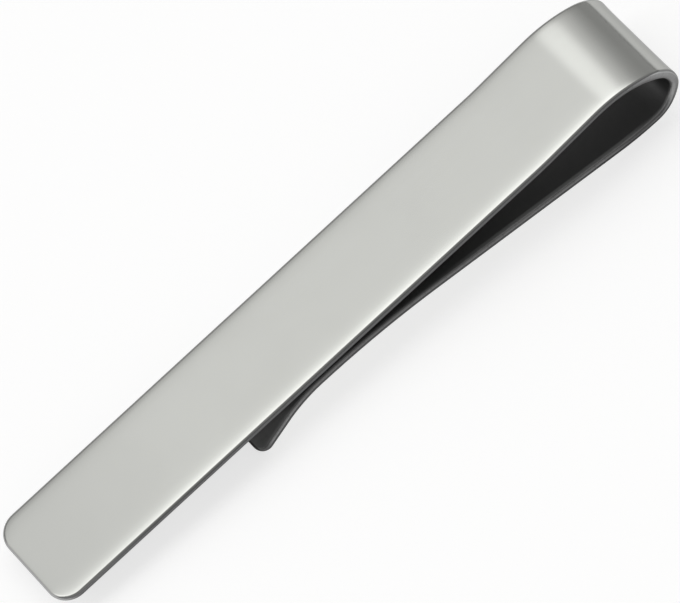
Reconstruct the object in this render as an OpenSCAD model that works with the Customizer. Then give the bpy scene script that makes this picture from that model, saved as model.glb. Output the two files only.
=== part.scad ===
// Tie clip: one spring strip, folded at a teardrop loop into a front bar and a back leg.
// X runs along the front bar towards the loop, Y runs across the strip, and Z points out
// of the front face. The origin lies under the middle of the clip, level with the loop's
// lowest line. The strip has no joins: its nodes are the zones between its bend lines.

/* [Strip] */
// Overall length, from the free end of the front bar to the crown of the loop
clip_len = 55; // [45:0.5:65]
// Width of the strip
strip_w = 8; // [5:0.1:12]
// Thickness of the strip
strip_t = 0.65; // [0.5:0.01:0.9]
// Radius that tumbling leaves on all edges of the strip
edge_r = 0.3; // [0.1:0.01:0.4]
// Corner radius at the free end of the front bar
bar_corner_r = 1.7; // [0.6:0.1:2.4]

/* [Loop] */
// Angle at which the front bar rises into the shoulder
shoulder_angle = 4.5; // [2:0.1:8]
// Inner radius of the slight bend where the rise starts
shoulder_rise_r = 17; // [8:0.5:30]
// Straight length of the rise
shoulder_run = 4.15; // [1:0.05:8]
// Middle-line radius over the top of the shoulder
shoulder_top_r = 7.75; // [5:0.05:12]
// Angle past level at which the shoulder tightens into the crown
crown_start_angle = 28; // [15:1:45]
// Middle-line radius of the crown's front half
crown_upper_r = 3.4; // [2.4:0.05:4.5]
// Middle-line radius of the crown's back half
crown_lower_r = 2.55; // [2:0.05:3.5]

/* [Leg] */
// Middle-line radius of the heel, where the loop runs into the leg
heel_r = 15; // [8:0.5:20]
// Angle at which the leg closes on the front bar
leg_angle = 12.6; // [11:0.1:16]
// Middle-line radius of the grip bend
grip_r = 46; // [30:1:60]
// Gap between the grip bend and the back of the front bar
grip_gap = 0.4; // [0.2:0.01:1]

/* [Lip] */
// Middle-line radius of the bend that turns the leg's end away from the bar
lip_r = 6.7; // [4:0.1:10]
// Angle at which the lip leads away from the bar
lip_angle = 27; // [15:0.5:40]
// Straight length of the lip
lip_len = 3.5; // [2.6:0.1:5]
// Corner radius at the end of the lip
lip_corner_r = 1; // [0.6:0.1:2.4]

/* [Hidden] */
$fn = 96;

front_colour = [0.80, 0.81, 0.78];
back_colour = [0.62, 0.63, 0.61];
QUARTER = 90;

// The edge rounding stays short of half the thickness
edge_limit_share = 0.48;
edge_round = min(edge_r, edge_limit_share * strip_t);
// The leg's straight run is parted at this share of its length, counted from the heel
heel_part_share = 0.45;

// A place on the strip's middle line is [x, z, heading], with the heading in degrees
// from +X towards +Z. A step along the line is [turn, size]: a straight run has no turn
// and its length as size, and a bend has its radius as size.
function run(length) = [0, length];
function bend(turn, radius) = [turn, radius];
function after_run(place, length) =
    place + [length * cos(place[2]), length * sin(place[2]), 0];
function after_bend(place, turn, radius) =
    let (side = sign(turn), next = place[2] + turn)
    place + [
        side * radius * (sin(next) - sin(place[2])),
        side * radius * (cos(place[2]) - cos(next)),
        turn
    ];
function after(place, step) =
    step[0] == 0 ? after_run(place, step[1]) : after_bend(place, step[0], step[1]);
function follow(place, steps, count) =
    count == 0 ? place : after(follow(place, steps, count - 1), steps[count - 1]);
function follow_all(place, steps) = follow(place, steps, len(steps));

// Steps of each zone, from the free end of the bar round to the end of the lip
shoulder_steps = [
    bend(shoulder_angle, shoulder_rise_r),
    run(shoulder_run),
    bend(-shoulder_angle, shoulder_top_r)
];
crown_front_steps = [
    bend(-crown_start_angle, shoulder_top_r),
    bend(crown_start_angle - QUARTER, crown_upper_r)
];
crown_back_steps = [bend(-QUARTER, crown_lower_r)];
loop_reach = follow_all([0, 0, 0], concat(shoulder_steps, crown_front_steps))[0];
bar_len = clip_len - loop_reach - strip_t / 2;

bar_start = [0, -strip_t / 2, 0];
shoulder_start = after_run(bar_start, bar_len);
crown_front_start = follow_all(shoulder_start, shoulder_steps);
crown_back_start = follow_all(crown_front_start, crown_front_steps);
heel_start = follow_all(crown_back_start, crown_back_steps);

// The leg's straight run is as long as it takes to bring the grip bend to its gap
grip_level = -strip_t - grip_gap - strip_t / 2;
bend_climb = (heel_r + grip_r) * (1 - cos(leg_angle));
leg_run = (grip_level - heel_start[1] - bend_climb) / sin(leg_angle);
heel_run = heel_part_share * leg_run;

heel_steps = [bend(-leg_angle, heel_r), run(heel_run)];
back_leg_steps = [run(leg_run - heel_run)];
grip_steps = [bend(leg_angle, grip_r)];
lip_steps = [bend(lip_angle, lip_r), run(lip_len - lip_corner_r)];
back_leg_start = follow_all(heel_start, heel_steps);
grip_start = follow_all(back_leg_start, back_leg_steps);
lip_start = follow_all(grip_start, grip_steps);

// The whole clip stands on the loop's lowest line
lowest = heel_start[1] - strip_t / 2;
clip_origin = [-clip_len / 2, 0, -lowest];

// Half of the strip's section: it reaches along X and ends in the rounded edge
module edge_profile(reach) {
    translate([0, -strip_t / 2]) square([reach - edge_round, strip_t]);
    translate([0, edge_round - strip_t / 2]) square([reach, strip_t - 2 * edge_round]);
    for (side = [-1, 1])
        translate([reach - edge_round, side * (strip_t / 2 - edge_round)])
            circle(r = edge_round);
}

module strip_section() {
    edge_profile(strip_w / 2);
    mirror([1, 0]) edge_profile(strip_w / 2);
}

module straight_strip(length) {
    rotate([QUARTER, 0, QUARTER]) linear_extrude(length) strip_section();
}

// A bend that turns the strip from +X towards +Z
module rising_bend(turn, radius) {
    translate([0, 0, radius])
        rotate([QUARTER, 0, 0])
            rotate([0, 0, -QUARTER])
                rotate_extrude(angle = turn)
                    translate([radius, 0]) rotate([0, 0, QUARTER]) strip_section();
}

module bent_strip(turn, radius) {
    if (turn > 0)
        rising_bend(turn, radius);
    else
        mirror([0, 0, 1]) rising_bend(-turn, radius);
}

// The end of the strip, with its two corners and its edge rounded, from x = 0 inwards
module strip_end(corner_r) {
    for (side = [0, 1])
        mirror([0, side, 0])
            translate([corner_r, strip_w / 2 - corner_r, 0])
                rotate([0, 0, QUARTER])
                    rotate_extrude(angle = QUARTER) edge_profile(corner_r);
    translate([corner_r, strip_w / 2 - corner_r, 0])
        rotate([QUARTER, 0, 0])
            linear_extrude(strip_w - 2 * corner_r) mirror([1, 0]) edge_profile(corner_r);
}

module placed(place) {
    translate(clip_origin)
        translate([place[0], 0, place[1]]) rotate([0, -place[2], 0]) children();
}

// Children move to the far end of one step
module past(step) {
    if (step[0] == 0)
        translate([step[1], 0, 0]) children();
    else
        translate([0, 0, sign(step[0]) * step[1]])
            rotate([0, -step[0], 0])
                translate([0, 0, -sign(step[0]) * step[1]]) children();
}

// The strip along the steps from number i on, with any children at its far end
module laid(steps, i = 0) {
    if (i == len(steps)) {
        children();
    } else {
        if (steps[i][0] == 0)
            straight_strip(steps[i][1]);
        else
            bent_strip(steps[i][0], steps[i][1]);
        past(steps[i]) laid(steps, i + 1) children();
    }
}

// One zone of the strip. It is laid both ways from the start of step number middle, so
// that the faces inside a zone meet exactly. Any children stand at its far end.
module zone(start, steps, middle = 0) {
    placed(follow(start, steps, middle)) {
        laid([for (i = [middle : 1 : len(steps) - 1]) steps[i]]) children();
        mirror([1, 0, 0]) laid([for (i = [middle - 1 : -1 : 0]) steps[i]]);
    }
}

// Flat front of the clip, which shows on the tie
module front_bar() {
    color(front_colour)
        placed(bar_start) {
            strip_end(bar_corner_r);
            translate([bar_corner_r, 0, 0]) straight_strip(bar_len - bar_corner_r);
        }
}

// Slight swell where the bar rises before it folds over
module shoulder() {
    color(front_colour) zone(shoulder_start, shoulder_steps, 1);
}

module crown_front() {
    color(front_colour) zone(crown_front_start, crown_front_steps, 1);
}

module crown_back() {
    color(back_colour) zone(crown_back_start, crown_back_steps);
}

// Bottom of the loop and the root of the leg
module heel() {
    color(back_colour) zone(heel_start, heel_steps, 1);
}

module back_leg() {
    color(back_colour) zone(back_leg_start, back_leg_steps);
}

// Shallow arch that comes closest to the bar and pinches the cloth
module grip_bend() {
    color(back_colour) zone(grip_start, grip_steps);
}

// End of the leg, turned away from the bar to let the cloth in
module lead_in_lip() {
    color(back_colour)
        zone(lip_start, lip_steps, 1)
            translate([lip_corner_r, 0, 0]) mirror([1, 0, 0]) strip_end(lip_corner_r);
}

front_bar();
shoulder();
crown_front();
crown_back();
heel();
back_leg();
grip_bend();
lead_in_lip();
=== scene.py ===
import math
import bpy
from mathutils import Matrix, Vector


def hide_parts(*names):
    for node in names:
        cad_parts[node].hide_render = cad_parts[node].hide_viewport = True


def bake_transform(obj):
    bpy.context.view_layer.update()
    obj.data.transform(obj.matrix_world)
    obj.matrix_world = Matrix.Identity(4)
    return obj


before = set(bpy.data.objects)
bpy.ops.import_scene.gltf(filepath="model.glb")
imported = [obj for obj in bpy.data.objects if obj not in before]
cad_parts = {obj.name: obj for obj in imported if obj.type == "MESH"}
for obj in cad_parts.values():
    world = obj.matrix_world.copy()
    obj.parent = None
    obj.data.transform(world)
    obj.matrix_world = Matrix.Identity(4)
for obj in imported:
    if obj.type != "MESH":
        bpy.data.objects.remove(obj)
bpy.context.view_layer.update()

MM = 0.001

# Sizes of the strip, the same as in the part's source, in millimetres and degrees
CLIP_LEN = 55
STRIP_W = 8
STRIP_T = 0.65
BAR_CORNER_R = 1.7
LIP_CORNER_R = 1.0
SHOULDER_ANGLE = 4.5
SHOULDER_RISE_R = 17
SHOULDER_RUN = 4.15
SHOULDER_TOP_R = 7.75
CROWN_START_ANGLE = 28
CROWN_UPPER_R = 3.4
CROWN_LOWER_R = 2.55
HEEL_R = 15
LEG_ANGLE = 12.6
GRIP_R = 46
GRIP_GAP = 0.4
LIP_R = 6.7
LIP_ANGLE = 27
LIP_LEN = 3.5
HEEL_PART_SHARE = 0.45
QUARTER = 90

HALF_T = STRIP_T / 2
HALF_W = STRIP_W / 2

# The tumbled section: both faces fall by this share of half the thickness towards the rim,
# by a power of the share of half the width, and a round side joins them.
FALL = 0.22
FALL_POWER = 9

# Width of the border in which the mesh follows the rim. It stays below the corner radius.
FACE_BORDER = 1.5
LIP_BORDER = 0.9

# The tight bend works the strip's edges. They stand a little proud of its middle, most at
# the crown's corner, and swell towards the inside over the crown, most on its front half.
# The back of the crown is tucked in. Each change is given as the headings at which it
# starts, peaks and ends, and its size. The lip has some of these headings too, and shifts
# with them by a few hundredths.
FLARE = (12, 101, 190, 0.11)
CORNER_FLARE = (48, 70, 90, 0.07)
SWELL = (4, 44, 145, 0.31)
FRONT_SWELL = (6, 36, 72, 0.2)
TUCK = (88, 128, 172, 0.12)
EDGE_POWER = 8

# The fold's highlights lean a little, as if it ran a trace askew. Its normals turn for that,
# and its shape stays square: the same four values, the size in degrees for each millimetre
# across.
SKEW = (0, 24, 75, 0.42)

# Fineness of the mesh. Points that agree to so many decimals are one point.
RUN_STEP = 0.5
BEND_STEP = 1.5
BORDER_STEPS = 12
ROUND_STEPS = 26
CORNER_STEPS = 14
FACE_ROWS = 10
SAME_POINT_DECIMALS = 5

# Length of each end of the strip that is drawn round its corners
END_ZONE = 2.0

# The side's radius is found in rounds that start at this share of half the thickness
ROUND_TRIES = 30
FIRST_ROUND_SHARE = 0.9

# Length of the leg's straight run that is drawn with the heel
HEEL_SPLIT = 3.2


def after(place, step):
    """The place at the end of a step. A place is (x, z, heading) and a step (turn, size)."""
    x, z, heading = place
    turn, size = step
    start = math.radians(heading)
    if turn == 0:
        return (x + size * math.cos(start), z + size * math.sin(start), heading)
    side = math.copysign(1, turn)
    end = math.radians(heading + turn)
    dx = side * size * (math.sin(end) - math.sin(start))
    dz = side * size * (math.cos(start) - math.cos(end))
    return (x + dx, z + dz, heading + turn)


def follow(place, steps):
    for step in steps:
        place = after(place, step)
    return place


def length_of(step):
    turn, size = step
    return size if turn == 0 else math.radians(abs(turn)) * size


shoulder_steps = [
    (SHOULDER_ANGLE, SHOULDER_RISE_R),
    (0, SHOULDER_RUN),
    (-SHOULDER_ANGLE, SHOULDER_TOP_R),
]
crown_steps = [
    (-CROWN_START_ANGLE, SHOULDER_TOP_R),
    (CROWN_START_ANGLE - QUARTER, CROWN_UPPER_R),
]
half_turn_back = (-QUARTER / 2, CROWN_LOWER_R)
loop_reach = follow((0, 0, 0), shoulder_steps + crown_steps)[0]
bar_len = CLIP_LEN - loop_reach - HALF_T
crown_end = follow((0, -HALF_T, 0), [(0, bar_len)] + shoulder_steps + crown_steps)
heel_start = follow(crown_end, [half_turn_back, half_turn_back])
bend_climb = (HEEL_R + GRIP_R) * (1 - math.cos(math.radians(LEG_ANGLE)))
grip_level = -STRIP_T - GRIP_GAP - HALF_T
leg_climb = grip_level - heel_start[1] - bend_climb
leg_run = leg_climb / math.sin(math.radians(LEG_ANGLE))
leg_start = follow(heel_start, [(-LEG_ANGLE, HEEL_R), (0, HEEL_PART_SHARE * leg_run)])
lowest = heel_start[1] - HALF_T
bar_start = (-CLIP_LEN / 2, -HALF_T - lowest, 0)

# The strip is drawn in four pieces. Each holds one place where it flexes, and they meet in
# between.
PIECES = {
    "front_strip": [(0, bar_len)] + shoulder_steps,
    "loop_strip": crown_steps + [half_turn_back],
    "heel_strip": [half_turn_back, (-LEG_ANGLE, HEEL_R), (0, HEEL_SPLIT)],
    "leg_strip": [
        (0, leg_run - HEEL_SPLIT),
        (LEG_ANGLE, GRIP_R),
        (LIP_ANGLE, LIP_R),
        (0, LIP_LEN),
    ],
}
total_len = sum(length_of(step) for steps in PIECES.values() for step in steps)


def fallen(share):
    """Depth of the outer face at a share of half the width, and how steeply it falls."""
    depth = HALF_T * (1 - FALL * share ** FALL_POWER)
    slope = HALF_T * FALL * FALL_POWER / HALF_W * share ** (FALL_POWER - 1)
    return depth, slope


def side_round():
    """Radius of the round side, and the lean in radians at which it takes over."""
    radius = FIRST_ROUND_SHARE * HALF_T
    for _ in range(ROUND_TRIES):
        lean = math.atan(fallen((HALF_W - radius) / HALF_W)[1])
        joint = (HALF_W - radius * (1 - math.sin(lean))) / HALF_W
        radius = fallen(joint)[0] / math.cos(lean)
    return radius, lean


SIDE_R, SIDE_LEAN = side_round()
FACE_HALF = HALF_W - SIDE_R * (1 - math.sin(SIDE_LEAN))


def face_at(across):
    """Depth of the outer face at a distance from the middle, and its normal (outwards, up)."""
    depth, slope = fallen(abs(across) / HALF_W)
    size = math.hypot(1, slope)
    return depth, slope / size, 1 / size


def edge_profile(border):
    """Points (inwards, depth, outwards, up) from the outer face round the side to the inner."""
    found = []
    for i in range(BORDER_STEPS):
        reach = border + (HALF_W - FACE_HALF - border) * i / BORDER_STEPS
        found.append((reach,) + face_at(HALF_W - reach))
    for i in range(ROUND_STEPS + 1):
        lean = SIDE_LEAN + (math.pi - 2 * SIDE_LEAN) * i / ROUND_STEPS
        out = math.sin(lean)
        up = math.cos(lean)
        found.append((SIDE_R * (1 - out), SIDE_R * up, out, up))
    mirrored = [(reach, -depth, out, -up) for reach, depth, out, up in found[:BORDER_STEPS]]
    return found + mirrored[::-1]


def hump(heading, shape):
    """Size of a change at a heading in the loop: it comes and goes smoothly."""
    start, peak, end, size = shape
    side = start if -heading < peak else end
    share = 1 - (-heading - peak) / (side - peak)
    return size * math.sin(math.pi / 2 * max(0, share)) ** 2


class Strip:
    """Collects the points and faces of one piece of the strip."""

    def __init__(self, border):
        half = HALF_W - border
        self.edge = edge_profile(border)
        self.rows = [half * (2 * i / FACE_ROWS - 1) for i in range(1, FACE_ROWS)]
        self.points = []
        self.normals = []
        self.places = []
        self.leans = []
        self.faces = []
        self.caps = []
        self.known = {}

    def point(self, place, along, across, depth, lean):
        """A point at a depth above the middle line. lean is its normal (along, across, up)."""
        key = tuple(round(size, SAME_POINT_DECIMALS) for size in (along, across, depth))
        if key in self.known:
            return self.known[key]
        x, z, heading = place
        ahead, sideways, up = lean
        c = math.cos(math.radians(heading))
        s = math.sin(math.radians(heading))
        flare = hump(heading, FLARE)
        proud = flare + hump(heading, CORNER_FLARE) * max(0, depth / HALF_T)
        swell = hump(heading, SWELL) + hump(heading, FRONT_SWELL)
        proud -= swell * max(0, -depth / HALF_T)
        share = min(abs(across) / HALF_W, 1)
        level = depth - flare + proud * share ** EDGE_POWER - hump(heading, TUCK)
        slope = proud * EDGE_POWER * share ** (EDGE_POWER - 1) / HALF_W
        self.points.append(Vector((x - s * level, across, z + c * level)) * MM)
        sideways -= math.copysign(slope, across) * up
        skewed = math.radians(heading + hump(heading, SKEW) * across)
        c = math.cos(skewed)
        s = math.sin(skewed)
        normal = Vector((c * ahead - s * up, sideways, s * ahead + c * up))
        self.normals.append(normal.normalized())
        self.places.append((along * MM, across * MM, depth * MM))
        self.leans.append(up)
        self.known[key] = len(self.points) - 1
        return self.known[key]


def face_point(strip, place, along, across, side):
    """A point of the flat part of the outer face, with side 1, or of the inner, with -1."""
    depth, out, up = face_at(across)
    lean = (0, math.copysign(out, across), side * up)
    return strip.point(place, along, across, side * depth, lean)


def ring(strip, place, along):
    """All points round the strip's section at one place."""
    found = [face_point(strip, place, along, y, 1) for y in strip.rows]
    for inwards, depth, out, up in strip.edge:
        found.append(strip.point(place, along, HALF_W - inwards, depth, (0, out, up)))
    found += [face_point(strip, place, along, y, -1) for y in reversed(strip.rows)]
    for inwards, depth, out, up in reversed(strip.edge):
        found.append(strip.point(place, along, inwards - HALF_W, depth, (0, -out, up)))
    return found


def rim(corner_r):
    """Places on the rim round an end and the ways inwards there, all (from end, across)."""
    near = [((END_ZONE, -HALF_W), (0, 1))]
    for i in range(CORNER_STEPS + 1):
        turn = math.radians(QUARTER) * i / CORNER_STEPS
        inwards = (math.sin(turn), math.cos(turn))
        on_rim = (corner_r * (1 - inwards[0]), corner_r * (1 - inwards[1]) - HALF_W)
        near.append((on_rim, inwards))
    far = [((end, -y), (end_in, -y_in)) for (end, y), (end_in, y_in) in reversed(near)]
    return near + far


def end_patch(strip, place, along, ahead, corner_r):
    """The rounded end. place is the path at the end zone's start, and ahead 1 or -1."""
    x, z, heading = place
    c = math.cos(math.radians(heading))
    s = math.sin(math.radians(heading))
    columns = []
    for (rim_end, rim_y), (end_in, y_in) in rim(corner_r):
        column = []
        for inwards, depth, out, up in strip.edge:
            reach = END_ZONE - (rim_end + end_in * inwards)
            there = (x + ahead * c * reach, z + ahead * s * reach, heading)
            lean = (ahead * out * end_in, -out * y_in, up)
            across = rim_y + y_in * inwards
            column.append(strip.point(there, along + ahead * reach, across, depth, lean))
        columns.append(column)
    for first, second in zip(columns, columns[1:]):
        for i in range(len(strip.edge) - 1):
            face = [first[i], second[i], second[i + 1], first[i + 1]]
            strip.faces.append(face[::-1] if ahead > 0 else face)
    for level, side in ((0, 1), (-1, -1)):
        edge = [column[level] for column in columns]
        back = [face_point(strip, place, along, y, side) for y in reversed(strip.rows)]
        face = edge + back
        strip.faces.append(face if ahead * side > 0 else face[::-1])


def stations_along(steps, place, along):
    """Places close together along the steps, each with its length along the strip."""
    found = []
    for step in steps:
        turn, size = step
        whole = length_of(step)
        count = math.ceil(abs(turn) / BEND_STEP) if turn else math.ceil(size / RUN_STEP)
        for i in range(count):
            part = (turn * i / count, size) if turn else (0, size * i / count)
            here = after(place, part) if i else place
            found.append((here, along + whole * i / count))
        place = after(place, step)
        along += whole
    found.append((place, along))
    return found


def laid(steps, start, along, open_start, open_end):
    """One piece of the strip along its steps, and the place and length at its end."""
    stations = stations_along(steps, start, along)
    place, along = stations[-1]
    strip = Strip(LIP_BORDER if open_end else FACE_BORDER)
    if open_start:
        stations = [(here, where) for here, where in stations if where > END_ZONE]
        stations.insert(0, (after(start, (0, END_ZONE)), END_ZONE))
    if open_end:
        last = total_len - END_ZONE
        stations = [(here, where) for here, where in stations if where < last]
        stations.append((after(place, (0, -END_ZONE)), last))
    rings = [ring(strip, here, where) for here, where in stations]
    for first, second in zip(rings, rings[1:]):
        for i in range(len(first)):
            j = (i + 1) % len(first)
            strip.faces.append([first[i], second[i], second[j], first[j]])
    if open_start:
        end_patch(strip, stations[0][0], stations[0][1], -1, BAR_CORNER_R)
    else:
        strip.caps.append(rings[0])
    if open_end:
        end_patch(strip, stations[-1][0], stations[-1][1], 1, LIP_CORNER_R)
    else:
        strip.caps.append(rings[-1][::-1])
    return strip, place, along


def add_object(name, data):
    added = bpy.data.objects.new(name, data)
    bpy.context.scene.collection.objects.link(added)
    return added


def strip_object(name, strip, material):
    """The piece's mesh, with its own normals and what the material reads of each point."""
    mesh = bpy.data.meshes.new(name)
    mesh.from_pydata(strip.points, [], strip.faces + strip.caps)
    spots = mesh.attributes.new("strip_place", "FLOAT_VECTOR", "POINT")
    spots.data.foreach_set("vector", [v for spot in strip.places for v in spot])
    leans = mesh.attributes.new("strip_lean", "FLOAT", "POINT")
    leans.data.foreach_set("value", strip.leans)
    mesh.polygons.foreach_set("use_smooth", [True] * len(mesh.polygons))
    first_cap = len(strip.faces)
    corners = []
    for face in mesh.polygons:
        flat = face.index >= first_cap
        for corner in face.vertices:
            corners.append(face.normal.copy() if flat else strip.normals[corner])
    mesh.normals_split_custom_set(corners)
    mesh.materials.append(material)
    return add_object(name, mesh)


# A mix node's sockets go by number, because their names repeat: first the share, then the
# two values or the two colours, and last what comes out
MIX_SHARE = 0
MIX_VALUES = (2, 3)
MIX_COLOURS = (6, 7)
MIXED_VALUE = 0
MIXED_COLOUR = 2


class Nodes:
    """Short calls for making a node tree."""

    def __init__(self, tree):
        self.tree = tree
        tree.nodes.clear()

    def add(self, kind, inputs=None, **settings):
        node = self.tree.nodes.new(kind)
        for key, value in settings.items():
            setattr(node, key, value)
        for key, value in (inputs or {}).items():
            if isinstance(value, bpy.types.NodeSocket):
                self.tree.links.new(value, node.inputs[key])
            else:
                node.inputs[key].default_value = value
        return node

    def math(self, operation, a, b=0.0, c=0.0):
        return self.add("ShaderNodeMath", {0: a, 1: b, 2: c}, operation=operation).outputs[0]

    def times(self, a, b):
        return self.math("MULTIPLY", a, b)

    def ramp(self, value, low, high, to_low=0.0, to_high=1.0):
        """value from low to high turns smoothly into to_low to to_high."""
        inputs = {
            "Value": value, "From Min": low, "From Max": high,
            "To Min": to_low, "To Max": to_high,
        }
        node = self.add("ShaderNodeMapRange", inputs, interpolation_type="SMOOTHSTEP")
        return node.outputs["Result"]

    def rise(self, value, zone, unit=1.0):
        """0 before a zone and 1 past it."""
        return self.ramp(value, zone[0] * unit, zone[1] * unit)

    def fall(self, value, zone, unit=1.0):
        """1 before a zone and 0 past it."""
        return self.ramp(value, zone[0] * unit, zone[1] * unit, 1.0, 0.0)

    def between(self, value, start, end, unit=1.0):
        """1 past the start's zone and before the end's, and 0 outside them."""
        return self.times(self.rise(value, start, unit), self.fall(value, end, unit))

    def mix(self, share, a, b):
        """Colour a, and colour b where the share is 1."""
        inputs = {MIX_SHARE: share, MIX_COLOURS[0]: a, MIX_COLOURS[1]: b}
        return self.add("ShaderNodeMix", inputs, data_type="RGBA").outputs[MIXED_COLOUR]

    def mix_values(self, share, a, b):
        """Number a, and number b where the share is 1."""
        inputs = {MIX_SHARE: share, MIX_VALUES[0]: a, MIX_VALUES[1]: b}
        return self.add("ShaderNodeMix", inputs).outputs[MIXED_VALUE]

    def noise(self, vector, scale, detail, roughness):
        inputs = {
            "Vector": vector, "Scale": scale, "Detail": detail, "Roughness": roughness,
        }
        return self.add("ShaderNodeTexNoise", inputs).outputs["Fac"]

    def stretched(self, vector, scale):
        node = self.add("ShaderNodeMapping", {"Vector": vector, "Scale": scale})
        return node.outputs["Vector"]

    def relief(self, height, strength, depth, inputs=None):
        """The normal of a relief, its depth in millimetres."""
        settings = {"Height": height, "Strength": strength, "Distance": depth * MM}
        settings.update(inputs or {})
        return self.add("ShaderNodeBump", settings).outputs["Normal"]


def new_material(name):
    """A new material, and its node tree to fill."""
    material = bpy.data.materials.new(name)
    material.use_nodes = True
    return material, Nodes(material.node_tree)


def grey(level):
    return (level, level, level, 1.0)


# Finish of the strip. The steel is polished on the outside and over the rolled edges. The
# blanked sides, the rim beside the outer face, the inside, the lip's end and the face near the
# free end hold painted shade, and some rolls and borders painted highlights.
POLISHED = (0.498, 0.503, 0.482, 1.0)
SMUDGE = (0.470, 0.475, 0.455, 1.0)
FREE_END_FACE_SHADE = (0.410, 0.415, 0.398, 1.0)
RIM_SHADE = grey(0.29)
BENT_RIM_SHADE = grey(0.48)
FREE_END_EDGE_SHADE = grey(0.42)
SIDE_SHADE_AND_MARKS = grey(0.11)
BURNISH_AND_SHEEN = grey(0.16)
BENT_SIDE_LIGHT = grey(0.32)
FREE_END_SIDE_SHADE = grey(0.14)
LIP_END_SHADE = grey(0.03)
ROLL_HIGHLIGHT = grey(0.34)
HEEL_ROLL_SHADE = grey(0.19)
UNDERSIDE_SHADE = grey(0.05)
LEG_UNDERSIDE_SHADE = grey(0.085)
INSIDE_SHADE = grey(0.18)
INSIDE_SHADE_GRAIN = grey(0.17)
LIP_INSIDE_SHADE = grey(0.21)
INNER_BORDER_HIGHLIGHT = grey(0.27)
BENT_BORDER_HIGHLIGHT = grey(0.50)
GRAZING = grey(0.62)
FREE_END_FACE_SHADE_SHARE = 0.5
BURNISH_AND_SHEEN_SHARE = 0.8
CROWN_SHADE_SHARE = 0.75
POLISHED_ROUGHNESS = 0.16
ROUGHNESS_SPREAD = 0.07
BLANKED_ROUGHNESS = 0.42
INSIDE_ROUGHNESS = 0.46

# Noises of the finish: scale per metre, detail and roughness. Lines and marks are noises
# that are stretched along the strip or across it.
PATCHES = (160.0, 3.0, 0.55)
GRAIN = (2600.0, 3.0, 0.6)
WANDER = (900.0, 2.0, 0.5)
STREAKS = (1.0, 2.0, 0.6)
LINES_STRETCH = (120.0, 5200.0, 5200.0)
MARKS_STRETCH = (9000.0, 400.0, 400.0)
WANDER_SIZE = 0.06

# How much of a noise shows: its levels from and to, and the shares there
PATCHES_SHOW = (0.42, 0.68, 0.0, 0.45)
LINES_SHOW = (0.35, 0.75, 0.0, 0.18)
MARKS_SHOW = (0.5, 0.8, 0.0, 0.5)
GRAIN_SHOWS = (0.4, 0.7, 0.0, 0.3)

# Reliefs of the noises: strength, and depth in millimetres
GRAIN_RELIEF = (0.05, 0.01)
LINES_RELIEF = (0.04, 0.01)
MARKS_RELIEF = (0.30, 0.02)

# Borders round the section, by the lean of its surface: 1 on the outer face, 0 at the middle
# of the side and -1 on the inner face
RIM_SHADE_LEANS = (0.76, 0.92)
SIDE_LEANS = (0.36, 0.62)
MIDDLE_START_LEANS = (-0.10, 0.15)
MIDDLE_END_LEANS = (0.35, 0.60)
CROWN_SHADE_LEANS = (0.45, 0.75)
UNDER_LEANS = (-0.50, -0.25)
ROLL_END_LEANS = (-0.60, -0.42)
ROLL_START_LEANS = (-0.92, -0.84)
INSIDE_LEANS = (-0.97, -0.88)


def before_end(far, near):
    """Two places along the strip, by their distances from the end of the lip."""
    return (total_len - far, total_len - near)


def before_rim(far, near):
    """Two places across the strip, by their distances from its rim."""
    return (HALF_W - far, HALF_W - near)


# Where the finish changes along the strip, in millimetres from the free end of the bar
FREE_END_EDGE_ZONE = (0.2, 1.7)
NEAR_FREE_END_ZONE = (3, 8)
FREE_END_FACE_SHADE_ZONE = (0, 16)
FOLD_START = (50, 55)
CROWN_SHADE_START = (53.7, 54.6)
CROWN_SHADE_END = (56.5, 57.3)
FOLD_END = (58, 64)
UNDER_START = before_end(42, 36)
HEEL_START = before_end(39, 37)
ROOT_START = before_end(36.5, 33.5)
HEEL_END = before_end(34.5, 31.5)
PAST_HEEL = before_end(32, 29)
ROOT_END = before_end(24, 16)
LIP_START = before_end(10, 5)
TIP_START = before_end(1.5, 0.6)
SHEAR_START = before_end(0.34, 0.2)

# And where it changes across the strip, in millimetres from its middle
CROWN_SHADE_BORDER = before_rim(0.28, 0.13)
HIGHLIGHT_BORDER = before_rim(0.42, 0.25)
BROAD_BORDER = before_rim(0.54, 0.38)


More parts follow.
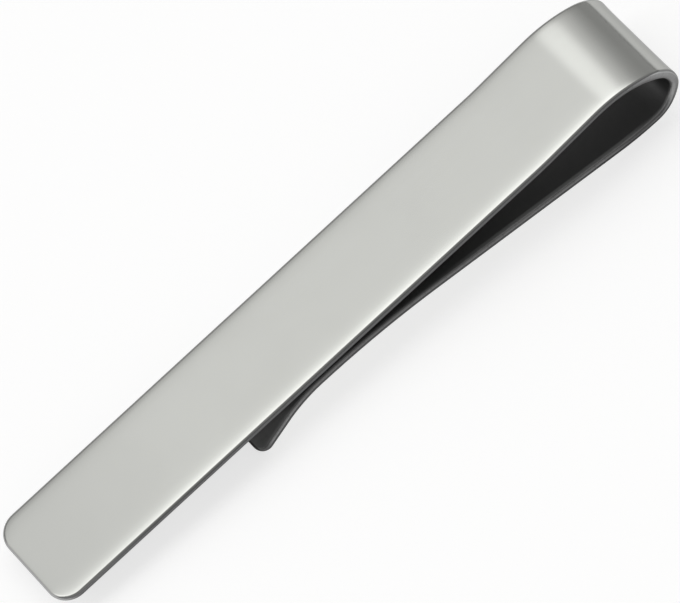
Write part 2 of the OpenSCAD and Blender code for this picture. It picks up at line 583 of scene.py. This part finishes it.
class Finish:
    """The steel's finish all over the strip: its colour with painted shade and highlights,
    roughness and relief.
    """

    def __init__(self, nodes):
        self.n = n = nodes
        spot = n.add("ShaderNodeAttribute", attribute_name="strip_place").outputs["Vector"]
        parts = n.add("ShaderNodeSeparateXYZ", {"Vector": spot})
        self.along = parts.outputs["X"]
        self.across = n.math("ABSOLUTE", parts.outputs["Y"])
        self.lean = n.add("ShaderNodeAttribute", attribute_name="strip_lean").outputs["Fac"]

        self.patches = n.noise(spot, *PATCHES)
        self.grain = n.noise(spot, *GRAIN)
        self.lines = n.noise(n.stretched(spot, LINES_STRETCH), *STREAKS)
        self.marks = n.noise(n.stretched(spot, MARKS_STRETCH), *STREAKS)

        # The border of each zone wanders a little. The zones hold painted shade, and the side's
        # and the inside's roughness.
        wander = n.noise(spot, *WANDER)
        wander = n.math("MULTIPLY_ADD", wander, WANDER_SIZE, -WANDER_SIZE / 2)
        border = n.math("ADD", self.lean, wander)
        self.rim_zone = n.fall(border, RIM_SHADE_LEANS)
        self.side = n.fall(border, SIDE_LEANS)
        self.inside = n.fall(border, INSIDE_LEANS)

        self.near_free_end = n.fall(self.along, NEAR_FREE_END_ZONE, MM)
        self.bent = n.between(self.along, FOLD_START, FOLD_END, MM)
        self.before_tip = n.fall(self.along, TIP_START, MM)

    def outer_face(self):
        """Polished, with smudges and fine lines, and with painted shade darkening it towards
        its free end.
        """
        n = self.n
        colour = n.mix(n.ramp(self.patches, *PATCHES_SHOW), POLISHED, SMUDGE)
        colour = n.mix(n.ramp(self.lines, *LINES_SHOW), colour, SMUDGE)
        # Painted shade: the outer face darkens towards its free end
        face_shade = n.times(n.fall(self.along, FREE_END_FACE_SHADE_ZONE, MM), FREE_END_FACE_SHADE_SHARE)
        return n.mix(face_shade, colour, FREE_END_FACE_SHADE)

    def with_rim_shade(self, colour):
        """The rim between the outer face and the side, in painted shade, lighter where bent and
        near the free end, and darker in painted shade over the crown.
        """
        n = self.n
        # Painted shade along the rim beside the outer face, lighter where bent and near the
        # free end
        rim_colour = n.mix(self.bent, n.mix(self.near_free_end, RIM_SHADE, FREE_END_EDGE_SHADE), BENT_RIM_SHADE)
        colour = n.mix(self.rim_zone, colour, rim_colour)
        # Painted shade on the rounded rims over the crown
        crown_shade = n.between(self.along, CROWN_SHADE_START, CROWN_SHADE_END, MM)
        crown_shade = n.times(crown_shade, n.rise(self.lean, CROWN_SHADE_LEANS))
        crown_shade = n.times(crown_shade, n.rise(self.across, CROWN_SHADE_BORDER, MM))
        return n.mix(n.times(crown_shade, CROWN_SHADE_SHARE), colour, SIDE_SHADE_AND_MARKS)

    def shaded_side(self):
        """The side in painted shade: burnish and painted reflection in its middle, a painted
        highlight on its roll towards the inner face, its underside on the leg darker.
        """
        n = self.n
        middle = n.between(self.lean, MIDDLE_START_LEANS, MIDDLE_END_LEANS)
        # Painted shade over the side, with a lighter middle that is partly the shear burnish
        # and partly a painted reflection
        colour = n.mix(n.times(middle, BURNISH_AND_SHEEN_SHARE), SIDE_SHADE_AND_MARKS, BURNISH_AND_SHEEN)
        # Painted light: the side is lighter where bent
        colour = n.mix(self.bent, colour, BENT_SIDE_LIGHT)
        # Painted highlight on the roll towards the inner face, less of it at the heel, as
        # painted shade
        at_heel = n.between(self.along, HEEL_START, HEEL_END, MM)
        rolled = n.between(self.lean, ROLL_START_LEANS, ROLL_END_LEANS)
        roll = n.mix(at_heel, ROLL_HIGHLIGHT, HEEL_ROLL_SHADE)
        colour = n.mix(n.times(rolled, self.before_tip), colour, roll)
        # Painted shade on the side's underside, darkest at the heel and lighter along the leg
        under = n.times(n.rise(self.along, UNDER_START, MM), n.rise(self.lean, UNDER_LEANS))
        underside = n.mix(n.rise(self.along, PAST_HEEL, MM), UNDERSIDE_SHADE, LEG_UNDERSIDE_SHADE)
        colour = n.mix(under, colour, underside)
        colour = n.mix(n.ramp(self.marks, *MARKS_SHOW), colour, SIDE_SHADE_AND_MARKS)
        # Painted shade of the side, lighter near the free end and lighter still on its end edge
        colour = n.mix(self.near_free_end, colour, FREE_END_SIDE_SHADE)
        return n.mix(n.fall(self.along, FREE_END_EDGE_ZONE, MM), colour, FREE_END_EDGE_SHADE)

    def inner_face(self):
        """Dull, grainy and in painted shade, with a painted highlight along its border,
        broadest at the leg's root.
        """
        n = self.n
        # Painted shade on the inner face, lighter towards the lip
        colour = n.mix(n.rise(self.along, LIP_START, MM), INSIDE_SHADE, LIP_INSIDE_SHADE)
        colour = n.mix(n.ramp(self.grain, *GRAIN_SHOWS), colour, INSIDE_SHADE_GRAIN)
        # Painted highlight along the inner face's border, brighter where bent and broad at the
        # leg's root
        border_highlight = n.times(n.rise(self.across, HIGHLIGHT_BORDER, MM), self.before_tip)
        colour = n.mix(border_highlight, colour, n.mix(self.bent, INNER_BORDER_HIGHLIGHT, BENT_BORDER_HIGHLIGHT))
        at_root = n.between(self.along, ROOT_START, ROOT_END, MM)
        broad = n.times(at_root, n.rise(self.across, BROAD_BORDER, MM))
        return n.mix(broad, colour, BENT_BORDER_HIGHLIGHT)

    def colour(self):
        n = self.n
        colour = self.with_rim_shade(self.outer_face())
        colour = n.mix(self.side, colour, self.shaded_side())
        colour = n.mix(self.inside, colour, self.inner_face())
        # Painted shade on the lip's sheared end
        return n.mix(n.rise(self.along, SHEAR_START, MM), colour, LIP_END_SHADE)

    def roughness(self):
        n = self.n
        smoothest = POLISHED_ROUGHNESS - ROUGHNESS_SPREAD / 2
        rough = n.math("MULTIPLY_ADD", self.patches, ROUGHNESS_SPREAD, smoothest)
        rough = n.mix_values(self.side, rough, BLANKED_ROUGHNESS)
        return n.mix_values(self.inside, rough, INSIDE_ROUGHNESS)

    def normal(self):
        """Grain and fine lines all over, and marks only on the side and inside."""
        n = self.n
        normal = n.relief(self.grain, *GRAIN_RELIEF)
        normal = n.relief(self.lines, *LINES_RELIEF, {"Normal": normal})
        marks = n.times(self.marks, n.math("MAXIMUM", self.side, self.inside))
        return n.relief(marks, *MARKS_RELIEF, {"Normal": normal})


def steel():
    # Its colour holds painted shade and painted highlights
    material, n = new_material("strip_steel_painted_shade")
    finish = Finish(n)
    shader = n.add("ShaderNodeBsdfPrincipled", {
        "Base Color": finish.colour(), "Metallic": 1.0, "Roughness": finish.roughness(),
        "Specular Tint": GRAZING, "Normal": finish.normal(),
    })
    n.add("ShaderNodeOutputMaterial", {"Surface": shader.outputs["BSDF"]})
    return material


strip_steel = steel()
made = {}
place = bar_start
along = 0.0
names = list(PIECES)
for name in names:
    strip, place, along = laid(
        PIECES[name], place, along, name == names[0], name == names[-1]
    )
    made[name] = strip_object(name, strip, strip_steel)

# Where each piece flexes: the two bodies, and the points between which it bends
shoulder_x = bar_start[0] + bar_len
crown_z = crown_end[1] - lowest
heel_x = bar_start[0] + heel_start[0]
leg_x = bar_start[0] + leg_start[0]
SHOULDER_FLEX_HALF = 3
FLEX_HALF = 1.5
LEG_FLEX_HALF = 2.5
FLEXES = {
    "front_strip": (
        ("front", "loop_front"),
        (shoulder_x - SHOULDER_FLEX_HALF, 0, 0), (shoulder_x + SHOULDER_FLEX_HALF, 0, 0),
        ("front_bar", "shoulder"),
    ),
    "loop_strip": (
        ("loop_front", "loop_back"), (0, 0, crown_z + FLEX_HALF), (0, 0, crown_z - FLEX_HALF),
        ("crown_front", "crown_back"),
    ),
    "heel_strip": (
        ("loop_back", "leg_root"), (heel_x + FLEX_HALF, 0, 0), (heel_x - FLEX_HALF, 0, 0),
        ("heel",),
    ),
    "leg_strip": (
        ("leg_root", "leg"), (leg_x + LEG_FLEX_HALF, 0, 0), (leg_x - LEG_FLEX_HALF, 0, 0),
        ("back_leg", "grip_bend", "lead_in_lip"),
    ),
}
for name, (bodies, start, end, nodes) in FLEXES.items():
    piece = made[name]
    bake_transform(piece)
    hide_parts(*nodes)

# The clip lies on the bottom of its loop and on the end of its lip, so the floor slopes a
# little in the clip's own frame. Its faces are narrow between the points where the leg flexes.
FLOOR_SIZE = 3.0
FOLD_STEPS = 10
FLOOR_TILT = 4.76
FLOOR_AT = (23.35, 0, 0.051)
FLOOR_COLOUR = grey(0.40)
FLOOR_GLOW = 0.69

# From and to where, beyond the loop, the mirrored floor grows dark
SWEEP = (50, 140)


def floor_material():
    """Pale floor. What the polished metal mirrors of it grows darker beyond the clip."""
    material, n = new_material("floor_white")
    rays = n.add("ShaderNodeLightPath")
    spot = n.add("ShaderNodeNewGeometry")
    parts = n.add("ShaderNodeSeparateXYZ", {"Vector": spot.outputs["Position"]})
    beyond = n.times(n.rise(parts.outputs["X"], SWEEP, MM), rays.outputs["Is Glossy Ray"])
    seen = n.math(
        "MAXIMUM", rays.outputs["Is Camera Ray"],
        n.math("MAXIMUM", rays.outputs["Is Glossy Ray"], rays.outputs["Is Transmission Ray"]),
    )
    seen = n.times(seen, n.math("SUBTRACT", 1.0, beyond))
    matt = n.add("ShaderNodeBsdfDiffuse", {"Color": FLOOR_COLOUR})
    glow = n.add("ShaderNodeEmission", {
        "Color": grey(1.0), "Strength": n.times(seen, FLOOR_GLOW),
    })
    lit = n.add("ShaderNodeAddShader", {0: matt.outputs[0], 1: glow.outputs[0]})
    clear = n.add("ShaderNodeBsdfTransparent")
    both = n.add("ShaderNodeMixShader", {
        0: spot.outputs["Backfacing"], 1: lit.outputs[0], 2: clear.outputs[0],
    })
    n.add("ShaderNodeOutputMaterial", {"Surface": both.outputs[0]})
    return material


def floor_object(fold_start, fold_end):
    """The sloping floor, in narrow faces between the two points where the leg flexes."""
    fold_from = (fold_start[0] - FLOOR_AT[0]) * MM
    fold_to = (fold_end[0] - FLOOR_AT[0]) * MM
    half = FLOOR_SIZE / 2
    columns = [half]
    for i in range(FOLD_STEPS + 1):
        columns.append(fold_from + (fold_to - fold_from) * i / FOLD_STEPS)
    columns.append(-half)
    points = []
    for x in columns:
        points += [(x, -half, 0), (x, half, 0)]
    faces = [(i + 2, i, i + 1, i + 3) for i in range(0, len(points) - 2, 2)]
    mesh = bpy.data.meshes.new("floor")
    mesh.from_pydata(points, [], faces)
    mesh.materials.append(floor_material())
    added = add_object("floor", mesh)
    added.location = Vector(FLOOR_AT) * MM
    added.rotation_euler = (0, math.radians(FLOOR_TILT), 0)
    return added


leg_bodies, fold_start, fold_end, _ = FLEXES["leg_strip"]
floor = floor_object(fold_start, fold_end)
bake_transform(floor)


# Brightness of the light tent by height: the sine of the elevation, and the level there
TENT = (
    (0.00, 0.80), (0.30, 0.74), (0.45, 0.80), (0.62, 0.97), (0.74, 1.03), (0.80, 1.05),
    (0.85, 1.09), (0.885, 1.15), (0.905, 1.20), (0.925, 1.43), (0.94, 1.36), (1.00, 1.00),
)
TENT_TOP = 2.0

# Its changes with direction: the part of the direction along X, Y or Z from and to, and the
# shares or levels there. The lamp is given by its direction and by the cosines round it.
LOOP_SIDE = (0.50, 0.82, 1.0, 0.56)
FAR_SIDE = (0.52, 0.68, 1.0, 0.50)
LAMP_AT = (0.355, 0.466, 0.810)
LAMP = (0.966, 1.0, 0.0, 0.50)
BAND_ACROSS = (0.24, 0.40)
BAND_HEIGHTS = (0.56, 0.80)
FRONT_BORDER = (-0.10, 0.10)
FRONT_LEVELS = (0.10, 0.60, 0.28, 0.34)
TENT_COLOUR = (1.0, 1.0, 0.995, 1.0)


def world_light():
    """A light tent: bright overhead, darker towards the horizon, and darkest in front."""
    world = bpy.data.worlds.new("light_tent")
    bpy.context.scene.world = world
    world.use_nodes = True
    n = Nodes(world.node_tree)
    direction = n.add("ShaderNodeTexCoord").outputs["Generated"]
    parts = n.add("ShaderNodeSeparateXYZ", {"Vector": direction})
    curve = n.add("ShaderNodeValToRGB", {"Fac": parts.outputs["Z"]})
    stops = curve.color_ramp.elements
    stops[0].position = TENT[0][0]
    stops[1].position = TENT[-1][0]
    for height, _ in TENT[1:-1]:
        stops.new(height)
    for stop, (_, level) in zip(stops, TENT):
        stop.color = grey(level / TENT_TOP)
    tent = n.times(curve.outputs["Color"], TENT_TOP)
    tent = n.times(tent, n.ramp(parts.outputs["X"], *LOOP_SIDE))
    towards_lamp = n.add("ShaderNodeVectorMath", {
        0: direction, 1: Vector(LAMP_AT).normalized(),
    }, operation="DOT_PRODUCT").outputs["Value"]
    tent = n.math("ADD", tent, n.ramp(towards_lamp, *LAMP))
    tent = n.times(tent, n.ramp(parts.outputs["Y"], *FAR_SIDE))
    band = n.times(
        n.fall(parts.outputs["Y"], BAND_ACROSS), n.rise(parts.outputs["Z"], BAND_HEIGHTS)
    )
    tent = n.math("ADD", tent, band)
    behind = n.rise(parts.outputs["Y"], FRONT_BORDER)
    dark = n.ramp(parts.outputs["Z"], *FRONT_LEVELS)
    level = n.mix_values(behind, dark, tent)
    shine = n.add("ShaderNodeBackground", {"Color": TENT_COLOUR, "Strength": level})
    n.add("ShaderNodeOutputWorld", {"Surface": shine.outputs["Background"]})


world_light()

# Camera, as fitted to the photograph's edges
SENSOR = 36.0
PHOTO_W = 680
FOCAL_PX = 6518.4
CAMERA_AT = (-0.0212917, -0.2043061, 0.3941631)
CAMERA_RIGHT = (0.735390, -0.615971, -0.282457)
CAMERA_UP = (0.675881, 0.636667, 0.371269)
NEAR_CLIP = 0.01
FAR_CLIP = 10.0


def camera_object():
    data = bpy.data.cameras.new("camera")
    data.sensor_width = SENSOR
    data.lens = FOCAL_PX / PHOTO_W * SENSOR
    data.clip_start = NEAR_CLIP
    data.clip_end = FAR_CLIP
    added = add_object("camera", data)
    right = Vector(CAMERA_RIGHT).normalized()
    back = right.cross(Vector(CAMERA_UP)).normalized()
    upward = back.cross(right)
    turned = Matrix((right, upward, back)).transposed().to_4x4()
    added.matrix_world = Matrix.Translation(CAMERA_AT) @ turned
    return added


bpy.context.scene.camera = camera_object()
bpy.context.scene.view_settings.view_transform = "Standard"
